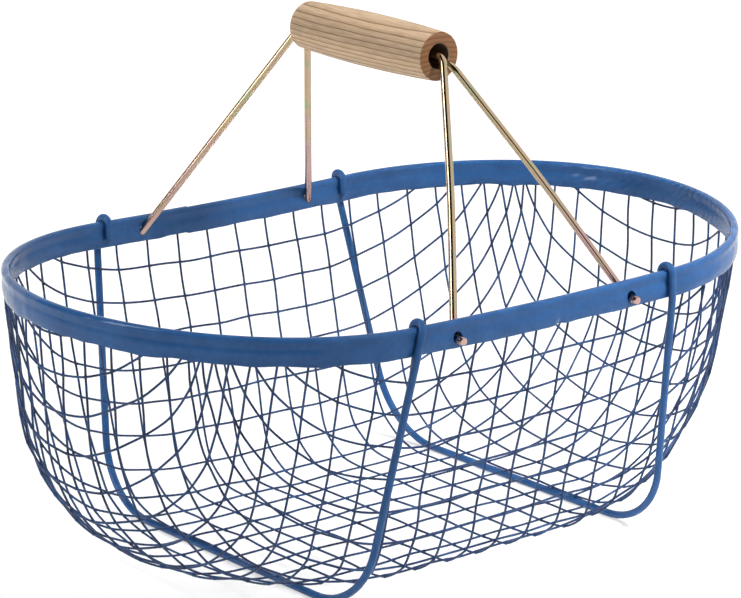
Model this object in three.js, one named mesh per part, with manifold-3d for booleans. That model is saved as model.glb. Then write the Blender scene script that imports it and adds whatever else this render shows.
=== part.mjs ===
import * as THREE from 'three';
import { mergeVertices } from 'three/addons/utils/BufferGeometryUtils.js';
import Module from 'manifold-3d';

// Harvest basket: a drawn wire mesh bowl in a folded steel rim, standing on two support wires,
// carried by a wood grip on two wire bails. Millimetres, X along the basket, Z up from the ground.

// Gap kept between pieces that touch on the real basket
const CLEARANCE = 0.3;

// Rim band: a steel strip folded over a core wire, sizes taken at its middle line
const RIM_LENGTH = 435;
const RIM_WIDTH = 280;
const RIM_STRAIGHT = 180;
const RIM_HEIGHT = 161.4;
const RIM_END_RISE = 6.3;
const BAND_HEIGHT = 15.4;
const BAND_THICKNESS = 5;
const SHEET = 0.8;

// Mesh bowl: floor outline, radii from the floor into the walls, wire and cell
const FLOOR_LENGTH = 251.4;
const FLOOR_WIDTH = 160.4;
const FLOOR_STRAIGHT = 58;
const END_RADIUS = 90.5;
const SIDE_RADIUS = 30.3;
const MESH_WIRE = 1.2;
const CELL_LENGTH = 21.5;
const CELL_WIDTH = 19.6;
const MESH_TUCK = 2;

// The mesh sheet lies this many quarter cells off centre across the basket
const QUARTERS = 4;
const SHIFT_WIDTH = 2;

// Slopes by which the lengthwise and the cross wires of the mesh run askew, in radians
const LENGTHWISE_SLOPE = 0.016;
const CROSSWISE_SLOPE = 0.025;

// Support wires: hooked over the rim, down both walls and under the floor
const STAY_WIRE = 4.2;
const STAY_HOOK_SPACING = 176;
const STAY_FOOT_SPACING = 212;
const STAY_FOOT_OVERHANG = 35;
const STAY_BEND_EXTRA = 16.7;
const STAY_SHOULDER_RADIUS = 12;
const STAY_LEFT_SPLAY = 5;
const STAY_LEFT_FAR_SPLAY = 2;
const STAY_RIGHT_FAR_LEAN = 4.3;
const HOOK_REACH = 11;

// Bails: two wires through the rim holes and along the bore of the grip
const BAIL_WIRE = 4.2;
const BAIL_SPACING = 123;
const BAIL_HOLE = 6;
const BAIL_HOLE_EDGE = 0.5;
const BAIL_STUB = 5;
const BAIL_FOOT_RADIUS = 3.5;
const BAIL_FOOT_INSET = 1;
const BAIL_GRIP_RADIUS = 8.5;
const BAIL_GRIP_PLAY = 4.6;
const BAIL_RIGHT_EXTRA = 7.7;
const BAIL_BESIDE = 1.9;
const BAIL_LEFT_DROP = 3.4;
const BAIL_RIGHT_DROP = 5.8;
const BAIL_BOW = 2;
const BAIL_BOW_RADIUS = 1200;

// How far the handle stands off centre: all of it along X, and its wires and grip along Y
const HANDLE_OFFSET = -1.8;
const BAIL_LEFT_SLIDE = -0.3;
const BAIL_RIGHT_SLIDE = 0.2;
const GRIP_SLIDE = 2.9;

// Wood grip: turned barrel with a bore along Y
const GRIP_HEIGHT = 278.2;
const GRIP_LENGTH = 113.2;
const GRIP_MIDDLE_DIAMETER = 30;
const GRIP_END_DIAMETER = 27;
const GRIP_BORE = 14;
const GRIP_CHAMFER = 1;
const GRIP_EDGE = 0.5;

// Facets
const WIRE_SIDES = 8;
const CORE_SIDES = 6;
const TURN_STEPS = 6;
const END_STEPS = 11;
const SIDE_STEPS = 3;
const FOLD_STEPS = 4;
const HOLE_SIDES = 16;
const GRIP_SIDES = 32;
const BARREL_STEPS = 8;

// Points of a wire nearer to each other than this are one point
const SAME_POINT = 0.01;

// Draping of the mesh: rounds of each search, and how far above the rim the net is laid before trimming
const SEARCH_ROUNDS = 50;
const NET_TOP_LEVEL = 2.12;

// Trimmed mesh wires, in wire diameters: shortest stub, and nearest two ends before they share a tip
const SHORTEST_STUB = 2;
const NEAREST_ENDS = 3;

const wasm = await Module();
wasm.setup();

const halfLength = RIM_LENGTH / 2;
const halfWidth = RIM_WIDTH / 2;
const bandOutside = halfWidth + BAND_THICKNESS / 2;

// Height of the rim's top edge: it rises a little towards both ends.
function rimTop(x) {
  return RIM_HEIGHT + RIM_END_RISE * (x / halfLength) ** 2;
}

// Closed body from vertex positions and triangles.
function body(positions, triangles) {
  const geometry = new THREE.BufferGeometry();
  const flat = positions.flatMap((point) => [point.x, point.y, point.z]);
  geometry.setAttribute('position', new THREE.Float32BufferAttribute(flat, 3));
  geometry.setIndex(triangles.flat());
  geometry.computeVertexNormals();
  return geometry;
}

// A quarter of a long outline with straight sides and half-ellipse ends.
// turn 0 is the tip on X, turn 1 the end of the straight side and turn 2 its middle.
function outlinePoint(turn, halfLong, halfWide, halfStraight) {
  if (turn > 1) {
    return { x: halfStraight * (2 - turn), y: halfWide };
  }
  const angle = (Math.PI / 2) * turn;
  return {
    x: halfStraight + (halfLong - halfStraight) * Math.cos(angle),
    y: halfWide * Math.sin(angle),
  };
}

// Points and outward directions all round the rim's middle line, counter-clockwise from above.
function rimLoop() {
  const turns = [];
  for (let step = 0; step < END_STEPS; step += 1) {
    turns.push(step / END_STEPS);
  }
  for (let step = 0; step < SIDE_STEPS; step += 1) {
    turns.push(1 + step / SIDE_STEPS);
  }
  const halfStraight = RIM_STRAIGHT / 2;
  const quarter = [...turns, 2].map((turn) => {
    const point = outlinePoint(turn, halfLength, halfWidth, halfStraight);
    const along = Math.max(point.x - halfStraight, 0) / (halfLength - halfStraight) ** 2;
    const across = turn < 1 ? point.y / halfWidth ** 2 : 1;
    const size = Math.hypot(along, across);
    return { x: point.x, y: point.y, outX: along / size, outY: across / size };
  });
  const loop = [];
  for (const [signX, signY] of [[1, 1], [-1, 1], [-1, -1], [1, -1]]) {
    const run = signX * signY > 0 ? quarter.slice(0, -1) : quarter.slice(1).reverse();
    for (const point of run) {
      loop.push({
        x: signX * point.x,
        y: signY * point.y,
        outX: signX * point.outX,
        outY: signY * point.outY,
      });
    }
  }
  return loop;
}

// Sweep a section round the rim. A section point has out, away from the middle, and drop, below the top.
function rimSweep(section) {
  const loop = rimLoop();
  const positions = [];
  for (const place of loop) {
    for (const { out, drop } of section) {
      const x = place.x + place.outX * out;
      const y = place.y + place.outY * out;
      positions.push(new THREE.Vector3(x, y, rimTop(place.x) - drop));
    }
  }
  const triangles = [];
  const count = section.length;
  for (let ring = 0; ring < loop.length; ring += 1) {
    const next = (ring + 1) % loop.length;
    for (let side = 0; side < count; side += 1) {
      const a = ring * count + side;
      const b = next * count + side;
      const c = next * count + ((side + 1) % count);
      const d = ring * count + ((side + 1) % count);
      triangles.push([a, b, c], [a, c, d]);
    }
  }
  return body(positions, triangles);
}

// Wire along points, mitred at each of them, with flat facets to both sides and below on a level run.
function wireAlong(points, diameter) {
  const positions = [];
  const triangles = [];
  const corner = diameter / 2 / Math.cos(Math.PI / WIRE_SIDES);
  points.forEach((point, index) => {
    const before = points[Math.max(index - 1, 0)];
    const after = points[Math.min(index + 1, points.length - 1)];
    const into = point.clone().sub(before).normalize();
    const outOf = after.clone().sub(point).normalize();
    const along = into.clone().add(outOf).normalize();
    const beside = new THREE.Vector3(1, 0, 0).addScaledVector(along, -along.x).normalize();
    const above = new THREE.Vector3().crossVectors(along, beside);
    const isEnd = index === 0 || index === points.length - 1;
    const stretch = isEnd ? 0 : 1 / Math.cos(into.angleTo(outOf) / 2) - 1;
    const bend = outOf.clone().sub(into).normalize();
    for (let side = 0; side < WIRE_SIDES; side += 1) {
      const angle = (2 * Math.PI * (side + 0.5)) / WIRE_SIDES;
      const offset = beside.clone().multiplyScalar(corner * Math.cos(angle));
      offset.addScaledVector(above, corner * Math.sin(angle));
      offset.addScaledVector(bend, offset.dot(bend) * stretch);
      positions.push(offset.add(point));
    }
  });
  for (let ring = 0; ring + 1 < points.length; ring += 1) {
    for (let side = 0; side < WIRE_SIDES; side += 1) {
      const a = ring * WIRE_SIDES + side;
      const d = ring * WIRE_SIDES + ((side + 1) % WIRE_SIDES);
      triangles.push([a, d, a + WIRE_SIDES], [d, d + WIRE_SIDES, a + WIRE_SIDES]);
    }
  }
  const last = (points.length - 1) * WIRE_SIDES;
  for (let side = 1; side + 1 < WIRE_SIDES; side += 1) {
    triangles.push([0, side + 1, side], [last, last + side, last + side + 1]);
  }
  return body(positions, triangles);
}

// Run of a bent wire: straight between its corners, with each inner corner rounded to a radius.
function bentRun(corners) {
  const points = [corners[0].at];
  for (let index = 1; index + 1 < corners.length; index += 1) {
    const { at, radius } = corners[index];
    const into = at.clone().sub(corners[index - 1].at).normalize();
    const outOf = corners[index + 1].at.clone().sub(at).normalize();
    const turn = into.angleTo(outOf);
    const inwards = outOf.clone().sub(into).normalize();
    const centre = at.clone().addScaledVector(inwards, radius / Math.cos(turn / 2));
    const start = at.clone().addScaledVector(into, -radius * Math.tan(turn / 2));
    const spoke = start.clone().sub(centre);
    const steps = Math.max(2, Math.ceil((TURN_STEPS * turn) / (Math.PI / 2)));
    for (let step = 0; step <= steps; step += 1) {
      const angle = (turn * step) / steps;
      const point = centre.clone().addScaledVector(spoke, Math.cos(angle));
      points.push(point.addScaledVector(into, radius * Math.sin(angle)));
    }
  }
  points.push(corners.at(-1).at);
  return points.filter((point, index) => index === 0 || point.distanceTo(points[index - 1]) > SAME_POINT);
}

// Round bar along Y, for cutting a hole.
function barAlongY(diameter, length, x, y, z) {
  const bar = new THREE.CylinderGeometry(diameter / 2, diameter / 2, length, HOLE_SIDES);
  return bar.translate(x, y, z);
}

// Cutting with solids: a geometry in and out of the solid library's own form.
function toSolid(geometry) {
  const plain = geometry.clone();
  plain.deleteAttribute('normal');
  plain.deleteAttribute('uv');
  const merged = mergeVertices(plain);
  const vertProperties = new Float32Array(merged.attributes.position.array);
  const triVerts = new Uint32Array(merged.index.array);
  return new wasm.Manifold(new wasm.Mesh({ numProp: 3, vertProperties, triVerts }));
}

function fromSolid(solid) {
  const mesh = solid.getMesh();
  const geometry = new THREE.BufferGeometry();
  geometry.setAttribute('position', new THREE.BufferAttribute(mesh.vertProperties, 3));
  geometry.setIndex(new THREE.BufferAttribute(mesh.triVerts, 1));
  geometry.computeVertexNormals();
  return geometry;
}

// Heights that the bails and their holes share, at the bails' place along the rim
const holeRise = MESH_TUCK + BAIL_HOLE_EDGE + BAIL_HOLE / 2;
const holeHeight = rimTop(BAIL_SPACING / 2) - BAND_HEIGHT + holeRise;
const bailFootHeight = holeHeight - (BAIL_HOLE - BAIL_WIRE) / 2 + CLEARANCE;

// Heights of the two bails at the bore's far end: the left one bears the grip, the right one lies lower
const boreReach = (GRIP_BORE - BAIL_WIRE) / 2 - CLEARANCE;
const apart = BAIL_WIRE + CLEARANCE;
const upperBail = GRIP_HEIGHT + Math.sqrt(boreReach ** 2 - BAIL_BESIDE ** 2);
const lowerBail = upperBail - Math.sqrt(Math.max(apart ** 2 - (2 * BAIL_BESIDE) ** 2, 0));

// Corners of a bail: near stub end, near foot, the bow of the near leg, both bends at the grip, of which
// the near one hangs lower, far foot and far stub end.
function bailCorners(sign) {
  const footX = HANDLE_OFFSET + (sign * BAIL_SPACING) / 2;
  const footY = halfWidth - BAIL_FOOT_INSET;
  const stubEnd = bandOutside + BAIL_STUB;
  const boreX = HANDLE_OFFSET + sign * BAIL_BESIDE;
  const farZ = sign < 0 ? upperBail : lowerBail;
  const nearZ = farZ - (sign < 0 ? BAIL_LEFT_DROP : BAIL_RIGHT_DROP);
  const slide = sign < 0 ? BAIL_LEFT_SLIDE : BAIL_RIGHT_SLIDE;
  const extra = sign < 0 ? 0 : BAIL_RIGHT_EXTRA;
  const halfTop = (GRIP_LENGTH + BAIL_GRIP_PLAY + extra) / 2;
  const nearY = slide - halfTop;
  const bowX = (footX + boreX) / 2 + BAIL_BOW;
  const corner = (x, y, z, radius) => ({ at: new THREE.Vector3(x, y, z), radius });
  return [
    corner(footX, -stubEnd, bailFootHeight),
    corner(footX, -footY, bailFootHeight, BAIL_FOOT_RADIUS),
    corner(bowX, (nearY - footY) / 2, (nearZ + bailFootHeight) / 2, BAIL_BOW_RADIUS),
    corner(boreX, nearY, nearZ, BAIL_GRIP_RADIUS),
    corner(boreX, slide + halfTop, farZ, BAIL_GRIP_RADIUS),
    corner(footX, footY, bailFootHeight, BAIL_FOOT_RADIUS),
    corner(footX, stubEnd, bailFootHeight),
  ];
}

// Cutters for the holes of one bail: round ones through the outer skirt, and slots in the inner skirt that
// follow the wire as it bends into its leg.
function bailCutters(sign) {
  const corners = bailCorners(sign);
  const slots = wireAlong(bentRun(corners), BAIL_WIRE + 2 * CLEARANCE);
  const round = [corners[1], corners.at(-2)].map(({ at }) => {
    const outerY = Math.sign(at.y) * bandOutside;
    return barAlongY(BAIL_HOLE, BAND_THICKNESS, at.x, outerY, holeHeight);
  });
  return [slots, ...round];
}

function rimBandGeometry() {
  const outer = BAND_THICKNESS / 2;
  const inner = outer - SHEET;
  const section = [{ out: outer, drop: BAND_HEIGHT }];
  for (let step = 0; step <= FOLD_STEPS; step += 1) {
    const angle = (Math.PI * step) / FOLD_STEPS;
    section.push({ out: outer * Math.cos(angle), drop: outer - outer * Math.sin(angle) });
  }
  section.push({ out: -outer, drop: BAND_HEIGHT }, { out: -inner, drop: BAND_HEIGHT });
  for (let step = 0; step <= FOLD_STEPS; step += 1) {
    const angle = Math.PI - (Math.PI * step) / FOLD_STEPS;
    section.push({ out: inner * Math.cos(angle), drop: outer - inner * Math.sin(angle) });
  }
  section.push({ out: inner, drop: BAND_HEIGHT });
  let band = toSolid(rimSweep(section));
  for (const cutter of [...bailCutters(-1), ...bailCutters(1)]) {
    band = band.subtract(toSolid(cutter));
  }
  return fromSolid(band);
}

function rimWireGeometry() {
  const radius = BAND_THICKNESS / 2 - SHEET - CLEARANCE;
  const section = [];
  for (let side = 0; side < CORE_SIDES; side += 1) {
    const angle = (2 * Math.PI * side) / CORE_SIDES;
    section.push({ out: radius * Math.cos(angle), drop: BAND_THICKNESS / 2 - radius * Math.sin(angle) });
  }
  return rimSweep(section);
}

// Half size of the bowl at a height over its floor: an arc out of the floor, then a leaning wall.
function wallProfile(foot, top, radius, height) {
  const across = top - foot;
  const up = height - radius;
  const lean = Math.atan2(across, up) - Math.asin(radius / Math.hypot(across, up));
  const arcHeight = radius * (1 - Math.sin(lean));
  const arcReach = foot + radius * Math.cos(lean);
  return (rise) => {
    if (rise >= height) {
      return top;
    }
    if (rise > arcHeight) {
      return arcReach + (rise - arcHeight) * Math.tan(lean);
    }
    return foot + Math.sqrt(Math.max(2 * radius * rise - rise * rise, 0));
  };
}

// The bowl's surface and the draping of the square mesh over it
const floorHeight = STAY_WIRE + CLEARANCE + MESH_WIRE / 2;
const bowlHeight = RIM_HEIGHT - floorHeight;
const wallHeight = bowlHeight - BAND_HEIGHT;
const longProfile = wallProfile(FLOOR_LENGTH / 2, halfLength, END_RADIUS, wallHeight);
const wideProfile = wallProfile(FLOOR_WIDTH / 2, halfWidth, SIDE_RADIUS, wallHeight);

// Point of the bowl: turn goes round a quarter of it, level 0 to 1 over the floor and 1 to 2 up the wall.
function bowlPoint(turn, level) {
  const rise = bowlHeight * Math.max(level - 1, 0) ** 2;
  const inside = Math.min(level, 1);
  const halfLong = longProfile(rise);
  const share = (halfLong - FLOOR_LENGTH / 2) / (halfLength - FLOOR_LENGTH / 2);
  const halfStraight = (FLOOR_STRAIGHT + (RIM_STRAIGHT - FLOOR_STRAIGHT) * share) / 2;
  const point = outlinePoint(turn, halfLong, wideProfile(rise), halfStraight);
  const x = point.x * inside;
  const lift = RIM_END_RISE * (x / halfLength) ** 2 * (rise / bowlHeight);
  return new THREE.Vector3(x, point.y * inside, floorHeight + rise + lift);
}

// Turn and level of a floor point.
function floorPlace(x, y) {
  const wide = FLOOR_WIDTH / 2;
  const straight = FLOOR_STRAIGHT / 2;
  const tip = FLOOR_LENGTH / 2 - straight;
  if (x * wide <= straight * y) {
    return [2 - (x * wide) / (y * straight), y / wide];
  }
  const a = (x / tip) ** 2 + (y / wide) ** 2;
  const b = (x * straight) / tip ** 2;
  const c = (straight / tip) ** 2 - 1;
  const scale = (b + Math.sqrt(b * b - a * c)) / a;
  const angle = Math.atan2((y * scale) / wide, (x * scale - straight) / tip);
  return [angle / (Math.PI / 2), 1 / scale];
}

// Place on the bowl at given distances from two points, by Newton steps from a guess.
function placeBetween(guess, fromA, lengthA, fromB, lengthB) {
  const nudge = 1e-6;
  const longestStep = 0.1;
  const missA = (turn, level) => bowlPoint(turn, level).distanceTo(fromA) - lengthA;
  const missB = (turn, level) => bowlPoint(turn, level).distanceTo(fromB) - lengthB;
  let [turn, level] = guess;
  for (let round = 0; round < SEARCH_ROUNDS; round += 1) {
    const a = missA(turn, level);
    const b = missB(turn, level);
    const turnA = (missA(turn + nudge, level) - a) / nudge;
    const turnB = (missB(turn + nudge, level) - b) / nudge;
    const levelA = (missA(turn, level + nudge) - a) / nudge;
    const levelB = (missB(turn, level + nudge) - b) / nudge;
    const scale = turnA * levelB - levelA * turnB;
    const stepTurn = (levelA * b - levelB * a) / scale;
    const stepLevel = (turnB * a - turnA * b) / scale;
    const shorten = Math.min(1, longestStep / Math.max(Math.abs(stepTurn), Math.abs(stepLevel)));
    turn += stepTurn * shorten;
    level = Math.max(level + stepLevel * shorten, nudge);
  }
  const isFound = Math.abs(missA(turn, level)) + Math.abs(missB(turn, level)) < nudge;
  return isFound ? [turn, level] : null;
}

// Next place along a line of constant turn, at a distance from the last one.
function placeAlong(turn, level, from, length) {
  let near = level;
  let far = level + 1;
  for (let round = 0; round < SEARCH_ROUNDS; round += 1) {
    const middle = (near + far) / 2;
    if (bowlPoint(turn, middle).distanceTo(from) < length) {
      near = middle;
    } else {
      far = middle;
    }
  }
  return [turn, near];
}

// Lay a square net over a quarter of the bowl, with all its sides at their flat length, as drawn mesh
// keeps its wires' length and only shears. The net has four steps to a cell.
function drapeQuarter() {
  const stepLong = CELL_LENGTH / QUARTERS;
  const stepWide = CELL_WIDTH / QUARTERS;
  const rows = [[{ place: [1, 0], point: bowlPoint(1, 0) }]];
  const seed = (row, column, place) => {
    if (place && place[1] <= NET_TOP_LEVEL) {
      rows[row] ??= [];
      rows[row][column] = { place, point: bowlPoint(...place) };
    }
  };
  for (let column = 1; rows[0][column - 1]; column += 1) {
    const last = rows[0][column - 1];
    seed(0, column, placeAlong(0, last.place[1], last.point, stepLong));
  }
  for (let row = 1; rows[row - 1]?.[0]; row += 1) {
    const last = rows[row - 1][0];
    seed(row, 0, placeAlong(2, last.place[1], last.point, stepWide));
  }
  for (let row = 1; row < rows.length; row += 1) {
    for (let column = 1; column < rows[0].length; column += 1) {
      const beside = rows[row][column - 1];
      const below = rows[row - 1][column];
      const corner = rows[row - 1][column - 1];
      if (beside && below) {
        const guess = beside.point.clone().add(below.point).sub(corner.point);
        const onFloor = Math.max(beside.place[1], below.place[1]) <= 1;
        const place = onFloor
          ? floorPlace(guess.x, guess.y)
          : [0, 1].map((k) => beside.place[k] + below.place[k] - corner.place[k]);
        place[0] = THREE.MathUtils.clamp(place[0], 0, 2);
        seed(row, column, placeBetween(place, beside.point, stepLong, below.point, stepWide));
      }
    }
  }
  return rows;
}

// Point of the whole net at given steps from its middle: between four points of the quarter, then mirrored.
function netPoint(quarter, stepsLong, stepsWide) {
  const column = Math.floor(Math.abs(stepsLong));
  const row = Math.floor(Math.abs(stepsWide));
  const corners = [[0, 0], [1, 0], [0, 1], [1, 1]];
  const around = corners.map(([right, up]) => quarter[row + up]?.[column + right]?.point);
  if (around.includes(undefined)) {
    return null;
  }
  const shareLong = Math.abs(stepsLong) - column;
  const shareWide = Math.abs(stepsWide) - row;
  const below = around[0].clone().lerp(around[1], shareLong);
  const above = around[2].clone().lerp(around[3], shareLong);
  const { x, y, z } = below.lerp(above, shareWide);
  return new THREE.Vector3(stepsLong < 0 ? -x : x, stepsWide < 0 ? -y : y, z);
}

// Crossings of the mesh wires, and how far each stands above the trimmed edge inside the band.
function meshCrossings(quarter) {
  const columns = Math.ceil(quarter[0].length / QUARTERS);
  const rows = Math.ceil(quarter.length / QUARTERS);
  const crossings = new Map();
  for (let column = -columns; column <= columns; column += 1) {
    for (let row = -rows; row <= rows; row += 1) {
      const wideAtMiddle = (row + SHIFT_WIDTH / QUARTERS) * CELL_WIDTH;
      const longAtMiddle = column * CELL_LENGTH;
      const askew = 1 + CROSSWISE_SLOPE * LENGTHWISE_SLOPE;
      const long = (longAtMiddle + CROSSWISE_SLOPE * wideAtMiddle) / askew;
      const wide = wideAtMiddle - LENGTHWISE_SLOPE * long;
      const point = netPoint(quarter, (long * QUARTERS) / CELL_LENGTH, (wide * QUARTERS) / CELL_WIDTH);
      if (point) {
        const over = point.z - (rimTop(point.x) - BAND_HEIGHT + MESH_TUCK);
        crossings.set(`${column},${row}`, { column, row, point, over, kept: over <= 0 });
      }
    }
  }
  return crossings;
}

// The four ways from a crossing, counter-clockwise seen from inside the bowl
const WAYS = [[1, 0], [0, 1], [-1, 0], [0, -1]];

function neighbour(crossings, crossing, way) {
  return crossings.get(`${crossing.column + way[0]},${crossing.row + way[1]}`);
}

// End of a wire that is trimmed inside the band, between a kept crossing and one above the edge.
function trimmedEnd(crossing, above) {
  const whole = crossing.point.distanceTo(above.point);
  const shortest = (SHORTEST_STUB * MESH_WIRE) / whole;
  const share = Math.max(crossing.over / (crossing.over - above.over), shortest);
  return crossing.point.clone().lerp(above.point, share);
}

// Keep a crossing above the edge where its wires would end too close to each other.
function keepNarrowTips(crossings) {
  for (const crossing of crossings.values()) {
    const around = WAYS.map((way) => neighbour(crossings, crossing, way));
    const below = around.filter((other) => other?.over <= 0);
    const ends = below.map((other) => trimmedEnd(other, crossing));
    const nearest = NEAREST_ENDS * MESH_WIRE;
    const areClose = ends.some((end, k) => k > 0 && end.distanceTo(ends[k - 1]) < nearest);
    const isJustAbove = crossing.over < MESH_WIRE && below.length > 1;
    crossing.kept ||= areClose || isJustAbove;
  }
}

// Direction of an arm laid flat into the plane across a crossing's normal.
function flattened(direction, normal) {
  return direction.clone().addScaledVector(normal, -direction.dot(normal)).normalize();
}

// Vertices of a crossing: one inside, one outside, and one in each corner between two neighbouring arms.
function addCrossing(crossings, crossing, add) {
  const radius = MESH_WIRE / 2;
  const { point } = crossing;
  const ways = WAYS.map((way, index) => {
    const other = neighbour(crossings, crossing, way);
    return { index, other, spoke: other?.point.clone().sub(point).normalize() };
  });
  const [right, far, left, near] = ways.map((way) => way.spoke);
  const long = right ?? left.clone().negate();
  const wide = far ?? near.clone().negate();
  const acrossLong = long.clone().sub(left ?? long.clone().negate());
  const acrossWide = wide.clone().sub(near ?? wide.clone().negate());
  const normal = acrossLong.cross(acrossWide).normalize();
  crossing.normal = normal;
  crossing.arms = ways.filter(({ other }) => other && (other.kept || crossing.over <= 0));
  crossing.top = add(point, normal, radius);
  crossing.bottom = add(point, normal, -radius);
  crossing.arms.forEach((arm, index) => {
    const next = crossing.arms[(index + 1) % crossing.arms.length];
    const level = flattened(arm.spoke, normal);
    const nextLevel = flattened(next.spoke, normal);
    const across = new THREE.Vector3().crossVectors(normal, level);
    const fullTurn = 2 * Math.PI;
    const angle = Math.atan2(nextLevel.dot(across), nextLevel.dot(level));
    const turn = (angle + fullTurn) % fullTurn || fullTurn;
    const middle = level.multiplyScalar(Math.cos(turn / 2)).addScaledVector(across, Math.sin(turn / 2));
    arm.leftCorner = add(point, middle, radius / Math.sin(turn / 2));
    next.rightCorner = arm.leftCorner;
  });
}

// Four vertices round the trimmed end of an arm.
function addTrimmedEnd(crossing, arm, add) {
  const radius = MESH_WIRE / 2;
  const point = trimmedEnd(crossing, arm.other);
  const across = new THREE.Vector3().crossVectors(crossing.normal, arm.spoke).normalize();
  const normal = new THREE.Vector3().crossVectors(arm.spoke, across);
  return {
    top: add(point, normal, radius),
    bottom: add(point, normal, -radius),
    left: add(point, across, radius),
    right: add(point, across, -radius),
  };
}

// The welded mesh as one lattice: four-sided wires that meet in a mitre at each crossing.
function meshBowlGeometry() {
  const crossings = meshCrossings(drapeQuarter());
  keepNarrowTips(crossings);
  const positions = [];
  const triangles = [];
  const add = (point, direction, distance) => {
    positions.push(point.clone().addScaledVector(direction, distance));
    return positions.length - 1;
  };
  const quad = (a, b, c, d) => triangles.push([a, b, c], [a, c, d]);
  const tube = (start, end) => {
    quad(start.top, end.top, end.left, start.left);
    quad(start.left, end.left, end.bottom, start.bottom);
    quad(start.bottom, end.bottom, end.right, start.right);
    quad(start.right, end.right, end.top, start.top);
  };
  const kept = [...crossings.values()].filter((crossing) => crossing.kept);
  kept.forEach((crossing) => addCrossing(crossings, crossing, add));
  for (const crossing of kept) {
    for (const arm of crossing.arms) {
      const { top, bottom } = crossing;
      const start = { top, bottom, left: arm.leftCorner, right: arm.rightCorner };
      const { other } = arm;
      if (!other.kept) {
        const end = addTrimmedEnd(crossing, arm, add);
        tube(start, end);
        quad(end.top, end.right, end.bottom, end.left);
      } else if (arm.index < WAYS.length / 2) {
        const back = other.arms.find((each) => each.other === crossing);
        const { top: otherTop, bottom: otherBottom } = other;
        tube(start, { top: otherTop, bottom: otherBottom, left: back.rightCorner, right: back.leftCorner });
      }
    }
  }
  return body(positions, triangles);
}

// Half of a support wire: from the hook's inner end over the rim, down the wall and on to the floor. The
// shoulders of the left wire are splayed outwards, and the far hook of the right wire leans to the middle.
function stayHalf(sign, side) {
  const splay = side < 0 ? STAY_LEFT_SPLAY : STAY_LEFT_FAR_SPLAY;
  const lean = sign > 0 && side > 0 ? STAY_RIGHT_FAR_LEAN : 0;
  const straightX = (sign * STAY_HOOK_SPACING) / 2;
  const hookX = straightX - lean;
  const shoulderX = sign < 0 ? straightX - splay : straightX;
  const footX = (sign * STAY_FOOT_SPACING) / 2;
  const hookRadius = (BAND_THICKNESS + STAY_WIRE) / 2 + CLEARANCE;
  const insideY = side * (halfWidth - hookRadius);
  const outsideY = side * (halfWidth + hookRadius);
  const footY = side * (FLOOR_WIDTH / 2 + STAY_FOOT_OVERHANG);
  const top = rimTop(straightX);
  const over = top + STAY_WIRE / 2 + CLEARANCE;
  const footRadius = SIDE_RADIUS + STAY_BEND_EXTRA;
  const corner = (x, y, z, radius) => ({ at: new THREE.Vector3(x, y, z), radius });
  return [
    corner(hookX, insideY, top - HOOK_REACH),
    corner(hookX, insideY, over, hookRadius),
    corner(hookX, outsideY, over, hookRadius),
    corner(shoulderX, outsideY, top - BAND_HEIGHT, STAY_SHOULDER_RADIUS),
    corner(footX, footY, STAY_WIRE / 2, footRadius),
  ];
}

function stayGeometry(sign) {
  const near = stayHalf(sign, -1);
  const far = stayHalf(sign, 1).reverse();
  return wireAlong(bentRun([...near, ...far]), STAY_WIRE);
}

// Bail on one side: from outside the near rim through its hole, up, along the bore and down again.
function bailGeometry(sign) {
  return wireAlong(bentRun(bailCorners(sign)), BAIL_WIRE);
}

// Turned grip about its own axis along Y: barrel outside, bore inside, both mouths chamfered.
function gripGeometry() {
  const half = GRIP_LENGTH / 2;
  const middle = GRIP_MIDDLE_DIAMETER / 2;
  const swell = (GRIP_MIDDLE_DIAMETER - GRIP_END_DIAMETER) / 2;
  const bore = GRIP_BORE / 2;
  const barrelEnd = half - GRIP_EDGE;
  const profile = [
    new THREE.Vector2(bore, -half + GRIP_CHAMFER),
    new THREE.Vector2(bore + GRIP_CHAMFER, -half),
    new THREE.Vector2(middle - swell - GRIP_EDGE, -half),
  ];
  for (let step = 0; step <= BARREL_STEPS; step += 1) {
    const along = (2 * step) / BARREL_STEPS - 1;
    profile.push(new THREE.Vector2(middle - swell * along ** 2, barrelEnd * along));
  }
  profile.push(
    new THREE.Vector2(middle - swell - GRIP_EDGE, half),
    new THREE.Vector2(bore + GRIP_CHAMFER, half),
    new THREE.Vector2(bore, half - GRIP_CHAMFER),
    new THREE.Vector2(bore, -half + GRIP_CHAMFER),
  );
  return new THREE.LatheGeometry(profile, GRIP_SIDES);
}

// Finishes
const blueCoat = () => new THREE.MeshStandardMaterial({ color: 0x35629b, roughness: 0.38, metalness: 0 });
const yellowZinc = () => new THREE.MeshStandardMaterial({ color: 0xbfae86, roughness: 0.3, metalness: 1 });
const turnedAsh = () => new THREE.MeshStandardMaterial({ color: 0xc9a67e, roughness: 0.6, metalness: 0 });

function piece(name, geometry, material) {
  const mesh = new THREE.Mesh(geometry, material);
  mesh.name = name;
  return mesh;
}

const bowl = new THREE.Group();
bowl.add(piece('rim_band', rimBandGeometry(), blueCoat()));
bowl.add(piece('rim_wire', rimWireGeometry(), blueCoat()));
bowl.add(piece('mesh_bowl', meshBowlGeometry(), blueCoat()));
bowl.add(piece('stay_left', stayGeometry(-1), blueCoat()));
bowl.add(piece('stay_right', stayGeometry(1), blueCoat()));

const handle = new THREE.Group();
handle.add(piece('bail_left', bailGeometry(-1), yellowZinc()));
handle.add(piece('bail_right', bailGeometry(1), yellowZinc()));
const grip = piece('grip', gripGeometry(), turnedAsh());
grip.position.set(HANDLE_OFFSET, GRIP_SLIDE, GRIP_HEIGHT);
handle.add(grip);

const basket = new THREE.Group();
basket.add(bowl, handle);

export default basket;
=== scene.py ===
import math

import bpy
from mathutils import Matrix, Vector, noise


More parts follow.
